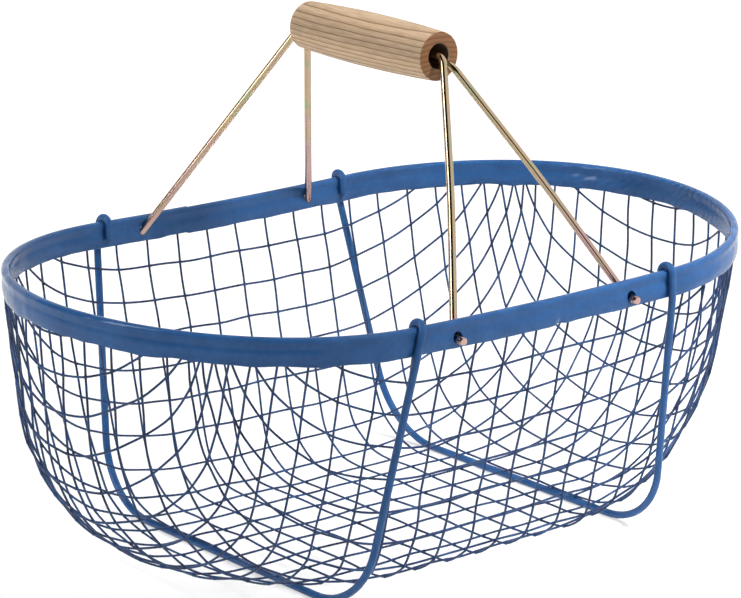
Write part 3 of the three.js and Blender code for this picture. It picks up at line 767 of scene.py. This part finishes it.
def round_wire(points, diameter, dome):
    """Rings of a thick wire along points, with both ends rounded over to a dome of that height."""
    facing = Vector((1, 0, 0))
    radius = diameter / 2
    samples = [(point, facing, radius) for point in points]
    for end in (0, -1):
        tip = points[end]
        inner = points[1 if end == 0 else -2]
        back = (inner - tip).normalized()
        angles = [math.radians(a) for a in DOME_ANGLES]
        rings = [(tip + back * dome * (1 - math.sin(a)), facing, radius * math.cos(a)) for a in angles]
        if end == 0:
            samples = rings[::-1] + samples[1:]
        else:
            samples = samples[:-1] + rings
    return wire_rings(samples)


def oval_punch(foot):
    """An oval bar that punches the hole of a bail foot through the outer skirt."""
    middle = math.copysign(RIM_WIDTH / 2, foot.y)
    points = []
    for y in sorted((middle, middle * PUNCH_REACH)):
        for k in range(PUNCH_SIDES):
            angle = 2 * math.pi * k / PUNCH_SIDES
            across = HOLE_WIDTH / 2 * math.cos(angle)
            points.append((foot.x + across, y, HOLE_CENTRE + HOLE_HEIGHT / 2 * math.sin(angle)))
    faces = [tuple(range(PUNCH_SIDES)), tuple(range(2 * PUNCH_SIDES - 1, PUNCH_SIDES - 1, -1))]
    for k in range(PUNCH_SIDES):
        n = (k + 1) % PUNCH_SIDES
        faces.append((n, k, k + PUNCH_SIDES, n + PUNCH_SIDES))
    return new_piece("bail_punch", points, faces)


def slot_cutter(foot, top):
    """A bar along the bent foot of a bail, which cuts its slot in the inner skirt."""
    in_band = Vector((foot.x, math.copysign(RIM_WIDTH / 2 + SLOT_IN_BAND, foot.y), foot.z))
    up_leg = foot + (top - foot).normalized() * SLOT_UP_LEG
    run = bent_run([(in_band, 0), (foot, BAIL_FOOT_RADIUS), (up_leg, 0)])
    return wire_piece("bail_slot", [round_wire(run, BAIL_WIRE + SLOT_PLAY, SLOT_DOME)], WIRE_SIDES)


punches = []
for sign in (-1, 1):
    _, near_foot, near_leg, _, far_bend, far_foot, _ = [at for at, _ in bail_corners(sign)]
    punches += [oval_punch(near_foot), slot_cutter(near_foot, near_leg)]
    punches += [oval_punch(far_foot), slot_cutter(far_foot, far_bend)]
for punch in punches:
    cut = rim_band.modifiers.new("bail_hole", "BOOLEAN")
    cut.operation = "DIFFERENCE"
    cut.solver = "EXACT"
    cut.object = punch
bpy.context.view_layer.update()
punched = bpy.data.meshes.new_from_object(rim_band.evaluated_get(bpy.context.evaluated_depsgraph_get()))
rim_band.modifiers.clear()
rim_band.data = punched
for punch in punches:
    bpy.data.objects.remove(punch)
punched.shade_smooth()
punched.set_sharp_from_angle(angle=math.radians(BAND_SHARP))
punched.materials.clear()
punched.materials.append(blue_coat)
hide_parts("rim_band")
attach(rim_band, "basket")


# Stays: the support wires, each one thick wire hooked over the rim from outside, bent down along the
# wall, under the floor and up the other side. The basket stands on them. Bent cold, cut off with rounded
# ends, and dip coated blue with the bowl, which also bonds them to the mesh.

STAY_WIRE = 0.0042
STAY_HOOK_SPACING = 0.176
STAY_FOOT_SPACING = 0.212
STAY_FOOT_OVERHANG = 0.035
STAY_SHOULDER_RADIUS = 0.012
STAY_LEFT_SPLAY = 0.005
STAY_LEFT_FAR_SPLAY = 0.002
STAY_RIGHT_FAR_LEAN = 0.0043
STAY_FOOT_RADIUS = 0.047
HOOK_REACH = 0.011
HOOK_GAP = 0.0001
STAY_DOME = 0.0012
WIRE_STEP = 0.008


def spaced(points, step):
    """The same run with extra points on its long straights."""
    run = [points[0]]
    for here, after in zip(points, points[1:]):
        count = max(1, math.ceil((after - here).length / step))
        run.extend(here.lerp(after, k / count) for k in range(1, count + 1))
    return run


def stay_half(sign, side):
    """Corners of half a support wire: hook's inner end, over the rim, down the wall and to the floor."""
    straight_x = sign * STAY_HOOK_SPACING / 2
    hook_x = straight_x - (STAY_RIGHT_FAR_LEAN if sign > 0 and side > 0 else 0)
    splay = STAY_LEFT_SPLAY if side < 0 else STAY_LEFT_FAR_SPLAY
    shoulder_x = straight_x - splay if sign < 0 else straight_x
    hook_radius = BEAD_RADIUS + STAY_WIRE / 2 + HOOK_GAP
    top = rim_top(straight_x)
    over = top + STAY_WIRE / 2 + HOOK_GAP
    inside = side * (RIM_WIDTH / 2 - hook_radius)
    outside = side * (RIM_WIDTH / 2 + hook_radius)
    foot_y = side * (FLOOR_WIDTH / 2 + STAY_FOOT_OVERHANG)
    foot = Vector((sign * STAY_FOOT_SPACING / 2, foot_y, STAY_WIRE / 2))
    return [
        (Vector((hook_x, inside, top - HOOK_REACH)), 0),
        (Vector((hook_x, inside, over)), hook_radius),
        (Vector((hook_x, outside, over)), hook_radius),
        (Vector((shoulder_x, outside, top - BAND_HEIGHT)), STAY_SHOULDER_RADIUS),
        (foot, STAY_FOOT_RADIUS),
    ]


for side, sign in (("left", -1), ("right", 1)):
    run = spaced(bent_run(stay_half(sign, -1) + stay_half(sign, 1)[::-1]), WIRE_STEP)
    stay = wire_piece(f"stay_{side}_wire", [round_wire(run, STAY_WIRE, STAY_DOME)], WIRE_SIDES)
    stay.data.materials.append(blue_coat)
    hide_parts(f"stay_{side}")
    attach(stay, "basket")


# Bails: the handle wires, drawn steel plated with zinc and passivated yellow, which leaves pink, gold and
# greenish stretches. Each is sprung with its stub ends through two holes of the rim, rises to the grip
# and runs along its bore beside the other one.

BAIL_DOME = 0.0003
ZINC_PINK = (0.56, 0.36, 0.33)
ZINC_GOLD = (0.55, 0.41, 0.26)
ZINC_GREEN = (0.41, 0.42, 0.26)
DRAIN_SLOPE = 2.5
DRAIN_HEIGHT = 0.192
DRAWN_LINES = (6.0, 14.0, 1.0)


def yellow_zinc():
    """Yellow-passivated zinc: pink, gold and green stretches, golder towards the top, and drawing lines."""
    plate = Finish("yellow_zinc_bails")
    place = plate.add("ShaderNodeTexCoord")["Object"]
    stretch = plate.noise(place, scale=30.0, detail=3.0, roughness=0.6)
    patch = plate.noise(place, scale=130.0, detail=1.0)
    height = plate.add("ShaderNodeSeparateXYZ", Vector=place)["Z"]
    drained = plate.math("MULTIPLY_ADD", height, DRAIN_SLOPE, stretch)
    middle = DRAIN_SLOPE * DRAIN_HEIGHT
    gold = plate.span(drained, low=0.38 + middle, high=0.6 + middle)
    green = plate.math("MULTIPLY", plate.span(patch, low=0.5, high=0.75), gold)
    strip = plate.add("ShaderNodeUVMap", {"uv_map": "OFBake"})["UV"]
    lines = plate.noise(plate.vector("MULTIPLY", strip, DRAWN_LINES), scale=1.0)
    colour = plate.blend(green, plate.blend(gold, ZINC_PINK, ZINC_GOLD), ZINC_GREEN)
    plate.use(Base_Color=colour, Metallic=1.0,
              Roughness=plate.span(patch, low=0.3, high=0.7, to_low=0.15, to_high=0.19),
              Normal=plate.bump(lines, strength=0.06, distance=0.0001))
    return plate.material


zinc = yellow_zinc()
for side, sign in (("left", -1), ("right", 1)):
    run = spaced(bent_run(bail_corners(sign)), WIRE_STEP)
    bail = wire_piece(f"bail_{side}_wire", [round_wire(run, BAIL_WIRE, BAIL_DOME)], WIRE_SIDES)
    bail.data.materials.append(zinc)
    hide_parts(f"bail_{side}")
    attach(bail, "basket")


# Grip: a barrel turned from ash, sanded and left bare, with a drilled bore for the two bails. The growth
# layers lie flat, so they show as straight lines on its sides and as a flame on top. Its ends are cut
# square with the edges just broken, and the drilled mouths are countersunk a little.

GRIP_PLACE = Vector((-0.0018, 0.0029, 0.2782))
GRIP_LENGTH = 0.1132
GRIP_MIDDLE_RADIUS = 0.015
GRIP_END_RADIUS = 0.0135
GRIP_BORE_RADIUS = 0.007
GRIP_CHAMFER = 0.0005
GRIP_EDGE = 0.0005
GRIP_EDGE_STEPS = 3
GRIP_END_RINGS = (0.25, 0.5, 0.75)
GRIP_SHARP = 35
GRIP_SIDES = 96
BARREL_STEPS = 40
ASH_LIGHT = (0.61, 0.43, 0.265)
ASH_MIDDLE = (0.50, 0.34, 0.203)
ASH_LINE = (0.29, 0.167, 0.086)
ASH_END = (0.25, 0.115, 0.048)
ASH_END_LINE = (0.14, 0.058, 0.024)
# The inside of the bore is painted dark: painted shade in the deep bore.
ASH_BORE_SHADE = (0.12, 0.070, 0.045)
ASH_MOUTH = (0.34, 0.25, 0.17)
BORE_EDGE = 0.0001
LAYER_SPACING = 0.0028
LAYER_WANDER = 0.0022
LAYER_RELIEF = 0.4
PITH_DEPTH = 0.059
WANDER_GRAIN = (70, 14, 70)
PORE_GRAIN = (2600, 70, 2600)
LAYER_STOPS = (
    (0.0, ASH_LINE), (0.08, ASH_LINE), (0.2, ASH_MIDDLE),
    (0.6, ASH_LIGHT), (0.95, ASH_LIGHT), (1.0, ASH_LINE),
)
# Brightness by height on the barrel, lighter below and darker above its middle: partly the denser layer
# lines there, partly painted light and shade.
LAYER_AND_SHADE_TONES = ((0.0, 1.1), (0.36, 1.06), (0.56, 0.73), (0.78, 0.73), (0.9, 0.83), (1.0, 0.83))


def grip_profile():
    """Half section of the grip from the bore's near mouth round the barrel to its far mouth."""
    half = GRIP_LENGTH / 2
    barrel_end = half - GRIP_EDGE
    swell = GRIP_MIDDLE_RADIUS - GRIP_END_RADIUS
    profile = [(GRIP_BORE_RADIUS, -half + GRIP_CHAMFER), (GRIP_BORE_RADIUS + GRIP_CHAMFER, -half)]
    for share in GRIP_END_RINGS:
        start = GRIP_BORE_RADIUS + GRIP_CHAMFER
        profile.append((start + (GRIP_END_RADIUS - GRIP_EDGE - start) * share, -half))
    for step in range(GRIP_EDGE_STEPS + 1):
        angle = math.pi / 2 * step / GRIP_EDGE_STEPS
        out = GRIP_END_RADIUS - GRIP_EDGE * (1 - math.sin(angle))
        profile.append((out, -half + GRIP_EDGE * (1 - math.cos(angle))))
    for step in range(1, BARREL_STEPS // 2 + 1):
        along = -1 + 2 * step / BARREL_STEPS
        profile.append((GRIP_MIDDLE_RADIUS - swell * along ** 2, barrel_end * along))
    return profile + [(radius, -y) for radius, y in profile[-2::-1]]


def turned(name, profile, sides):
    """A closed ring turned about the grip's own axis along Y."""
    points, faces, layout = [], [], []
    count = len(profile)
    reach = [0.0]
    for (r0, y0), (r1, y1) in zip(profile, profile[1:] + profile[:1]):
        reach.append(reach[-1] + math.hypot(r1 - r0, y1 - y0))
    for k in range(sides):
        angle = 2 * math.pi * k / sides
        for radius, y in profile:
            points.append(GRIP_PLACE + Vector((radius * math.sin(angle), y, radius * math.cos(angle))))
    for k in range(sides):
        here, after = k * count, (k + 1) % sides * count
        for step in range(count):
            onward = (step + 1) % count
            faces.append((here + step, here + onward, after + onward, after + step))
            low, high = reach[step] / reach[-1], reach[step + 1] / reach[-1]
            left, right = k / sides, (k + 1) / sides
            layout.extend(((left, low), (left, high), (right, high), (right, low)))
    piece = new_piece(name, points, faces, layout)
    piece.data.shade_smooth()
    piece.data.set_sharp_from_angle(angle=math.radians(GRIP_SHARP))
    return piece


def turned_ash():
    """Bare ash: flat growth layers with a dark porous line each, pores along the grain, darker ends."""
    ash = Finish("turned_ash_grip")
    centred = ash.vector("SUBTRACT", ash.add("ShaderNodeTexCoord")["Object"], GRIP_PLACE)
    axes = ash.add("ShaderNodeSeparateXYZ", Vector=centred)
    wander = ash.noise(ash.vector("MULTIPLY", centred, WANDER_GRAIN), scale=1.0)
    pores = ash.noise(ash.vector("MULTIPLY", centred, PORE_GRAIN), scale=1.0, roughness=0.6)
    above_pith = ash.math("ADD", axes["Z"], PITH_DEPTH)
    from_pith = ash.add("ShaderNodeCombineXYZ", X=axes["X"], Y=0.0, Z=above_pith)["Vector"]
    depth = ash.math("MULTIPLY_ADD", wander, LAYER_WANDER, ash.vector("LENGTH", from_pith))
    layer = ash.math("FRACT", ash.math("DIVIDE", depth, LAYER_SPACING))
    height = ash.span(axes["Z"], -GRIP_MIDDLE_RADIUS, GRIP_MIDDLE_RADIUS)
    # Lighter lower half and darker upper half: partly denser layer lines, partly painted light and shade.
    layer_and_shade_tone = ash.ramp(height, [(at, (tone, tone, tone)) for at, tone in LAYER_AND_SHADE_TONES])
    pore_tone = ash.span(pores, low=0.35, high=0.7, to_low=0.76, to_high=1.12)
    side_wood = ash.add("ShaderNodeVectorMath", {"operation": "SCALE"}, _0=ash.ramp(layer, LAYER_STOPS),
                        Scale=ash.math("MULTIPLY", layer_and_shade_tone, pore_tone))["Vector"]
    speck = ash.noise(centred, scale=1500.0)
    end_mix = ash.math("MULTIPLY", ash.span(layer, low=0.0, high=0.5), speck)
    end_wood = ash.blend(ash.span(end_mix, low=0.1, high=0.5), ASH_END_LINE, ASH_END)
    facing = ash.add("ShaderNodeSeparateXYZ", Vector=ash.add("ShaderNodeTexCoord")["Normal"])["Y"]
    is_end = ash.span(ash.math("ABSOLUTE", facing), low=0.75, high=0.95)
    colour = ash.blend(is_end, side_wood, end_wood)
    flat = ash.add("ShaderNodeCombineXYZ", X=axes["X"], Y=0.0, Z=axes["Z"])["Vector"]
    radius = ash.vector("LENGTH", flat)
    # The countersunk mouth gets a lighter wood, and the bore inside gets a dark colour that is painted
    # shade.
    for reach, wood in ((GRIP_CHAMFER, ASH_MOUTH), (BORE_EDGE, ASH_BORE_SHADE)):
        colour = ash.blend(ash.math("LESS_THAN", radius, GRIP_BORE_RADIUS + reach), colour, wood)
    grain = ash.math("MULTIPLY_ADD", layer, LAYER_RELIEF, pores)
    ash.use(Base_Color=colour, Roughness=ash.span(pores, low=0.3, high=0.7, to_low=0.68, to_high=0.52),
            Normal=ash.bump(grain, strength=0.25, distance=0.0002))
    return ash.material


grip = turned("grip_barrel", grip_profile(), GRIP_SIDES)
grip.data.materials.append(turned_ash())
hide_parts("grip")
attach(grip, "grip")


# Studio: a white table under soft light from both sides and above, with the camera at the photograph's
# place. A dark screen reaches from behind the camera round to the left and shows only in gloss.

CAMERA_AZIMUTH = math.radians(-39.315)
CAMERA_ELEVATION = math.radians(15.164)
CAMERA_DISTANCE = 1.9156
CAMERA_AIM = Vector((0, 0, 0.150))
PHOTO_WIDTH, PHOTO_HEIGHT = 741, 598
FOCAL_PIXELS = 3428.97
AXIS_PIXEL = (378.15, 266.1)
SENSOR = 36.0
CLIP_END = 50

WHITE = (1, 1, 1, 1)
TABLE_HALF = 6.0
TABLE_MATTE = (0.9, 0.9, 0.9, 1)
TABLE_FAINT = (0.5, 0.5, 0.5, 1)
FILL_NEAR, FILL_FAR = 0.3, 0.9
FILL_LEAST, FILL_MOST = 0.50, 0.85
ROOM_LIGHT = 0.35
BACKDROP_LIGHT = 1.0

SCREEN_LEFT = 110
SCREEN_RIGHT = 26
SCREEN_LOW = 2
SCREEN_HIGH = 86
SCREEN_STEPS = 12
SCREEN_DISTANCE = 2.6
SCREEN_NARROWEST = 0.6
SCREEN_DARK = (0.01, 0.01, 0.01, 1)


def direction(azimuth, elevation):
    """Unit vector towards a place of the studio, by its angles round the basket and over the table."""
    level = math.cos(elevation)
    return Vector((math.sin(azimuth) * level, -math.cos(azimuth) * level, math.sin(elevation)))


camera_back = direction(CAMERA_AZIMUTH, CAMERA_ELEVATION)
camera_data = bpy.data.cameras.new("camera")
camera_data.sensor_fit = "HORIZONTAL"
camera_data.sensor_width = SENSOR
camera_data.lens = FOCAL_PIXELS / PHOTO_WIDTH * SENSOR
camera_data.shift_x = (PHOTO_WIDTH / 2 - AXIS_PIXEL[0]) / PHOTO_WIDTH
camera_data.shift_y = (AXIS_PIXEL[1] - PHOTO_HEIGHT / 2) / PHOTO_WIDTH
camera_data.clip_end = CLIP_END
camera = bpy.data.objects.new("camera", camera_data)
camera.location = CAMERA_AIM + camera_back * CAMERA_DISTANCE
camera.rotation_euler = (-camera_back).to_track_quat("-Z", "Y").to_euler()
bpy.context.collection.objects.link(camera)
bpy.context.scene.camera = camera


def seen_directly(tree):
    """1 for the rays that show the background: seen by the camera, in gloss or through glass."""
    path = tree.nodes.new("ShaderNodeLightPath")
    total = None
    for name in ("Is Camera Ray", "Is Glossy Ray", "Is Transmission Ray"):
        if total is None:
            total = path.outputs[name]
            continue
        most = tree.nodes.new("ShaderNodeMath")
        most.operation = "MAXIMUM"
        tree.links.new(total, most.inputs[0])
        tree.links.new(path.outputs[name], most.inputs[1])
        total = most.outputs["Value"]
    return total


def white_table():
    """Table finish: white with a faint shadow where it is seen, filled in more the further out it is."""
    table = Finish("white_table")
    table.tree.nodes.remove(table.shader)
    matte = table.add("ShaderNodeBsdfDiffuse", Color=TABLE_MATTE)["BSDF"]
    faint = table.add("ShaderNodeBsdfDiffuse", Color=TABLE_FAINT)["BSDF"]
    reach = table.vector("LENGTH", table.add("ShaderNodeTexCoord")["Object"])
    fill = table.span(reach, FILL_NEAR, FILL_FAR, FILL_LEAST, FILL_MOST)
    glow = table.add("ShaderNodeEmission", Color=WHITE, Strength=fill)["Emission"]
    both = table.add("ShaderNodeAddShader", _0=faint, _1=glow)["Shader"]
    shown = table.add("ShaderNodeMixShader", Fac=seen_directly(table.tree), _1=matte, _2=both)["Shader"]
    table.tree.links.new(shown, table.tree.nodes["Material Output"].inputs["Surface"])
    return table.material


table_corners = [(x * TABLE_HALF, y * TABLE_HALF, 0) for x, y in ((-1, -1), (1, -1), (1, 1), (-1, 1))]
table = new_piece("table", table_corners, [(0, 1, 2, 3)])
table.data.materials.append(white_table())

world = bpy.data.worlds.new("studio")
bpy.context.scene.world = world
world.use_nodes = True
sky = world.node_tree
sky.nodes.clear()
sky_mix = sky.nodes.new("ShaderNodeMixShader")
sky.links.new(seen_directly(sky), sky_mix.inputs["Fac"])
for place, strength in ((1, ROOM_LIGHT), (2, BACKDROP_LIGHT)):
    backdrop = sky.nodes.new("ShaderNodeBackground")
    backdrop.inputs["Color"].default_value = WHITE
    backdrop.inputs["Strength"].default_value = strength
    sky.links.new(backdrop.outputs["Background"], sky_mix.inputs[place])
sky_output = sky.nodes.new("ShaderNodeOutputWorld")
sky.links.new(sky_mix.outputs["Shader"], sky_output.inputs["Surface"])


def softbox(name, azimuth, elevation, distance, size, power, aim=CAMERA_AIM, spread=180):
    """A soft light that faces a point of the basket, with a grid that narrows its spread."""
    light = bpy.data.lights.new(name, "AREA")
    light.shape = "RECTANGLE"
    light.size, light.size_y = size
    light.energy = power
    light.spread = math.radians(spread)
    lamp = bpy.data.objects.new(name, light)
    lamp.location = CAMERA_AIM + direction(math.radians(azimuth), math.radians(elevation)) * distance
    lamp.rotation_euler = (aim - lamp.location).to_track_quat("-Z", "Y").to_euler()
    bpy.context.collection.objects.link(lamp)
    return lamp


softbox("left_softbox", azimuth=-108, elevation=30, distance=1.6, size=(0.3, 1.2), power=13)
right_softbox = softbox("right_softbox", azimuth=20, elevation=45, distance=1.5, size=(0.5, 0.5), power=1.8,
                        aim=Vector((0.20, -0.14, 0.12)), spread=30)
top_softbox = softbox("top_softbox", azimuth=150, elevation=75, distance=1.6, size=(1.4, 1.4), power=10)
right_softbox.visible_glossy = False
top_softbox.visible_glossy = False

screen_points, screen_faces = [], []
for k in range(SCREEN_STEPS + 1):
    turn = math.radians((SCREEN_LEFT + SCREEN_RIGHT) * k / SCREEN_STEPS - SCREEN_LEFT)
    for j in range(SCREEN_STEPS + 1):
        elevation = math.radians(SCREEN_LOW + (SCREEN_HIGH - SCREEN_LOW) * j / SCREEN_STEPS)
        azimuth = CAMERA_AZIMUTH + turn / max(math.cos(elevation), SCREEN_NARROWEST)
        screen_points.append(CAMERA_AIM + direction(azimuth, elevation) * SCREEN_DISTANCE)
for k in range(SCREEN_STEPS):
    for j in range(SCREEN_STEPS):
        corner = k * (SCREEN_STEPS + 1) + j
        screen_faces.append((corner, corner + 1, corner + SCREEN_STEPS + 2, corner + SCREEN_STEPS + 1))
screen = new_piece("dark_screen", screen_points, screen_faces)
dark = Finish("dark_screen")
dark.use(Base_Color=SCREEN_DARK, Roughness=1.0)
screen.data.materials.append(dark.material)
screen.visible_camera = False
screen.visible_diffuse = False
screen.visible_shadow = False

bpy.context.scene.view_settings.view_transform = "Standard"
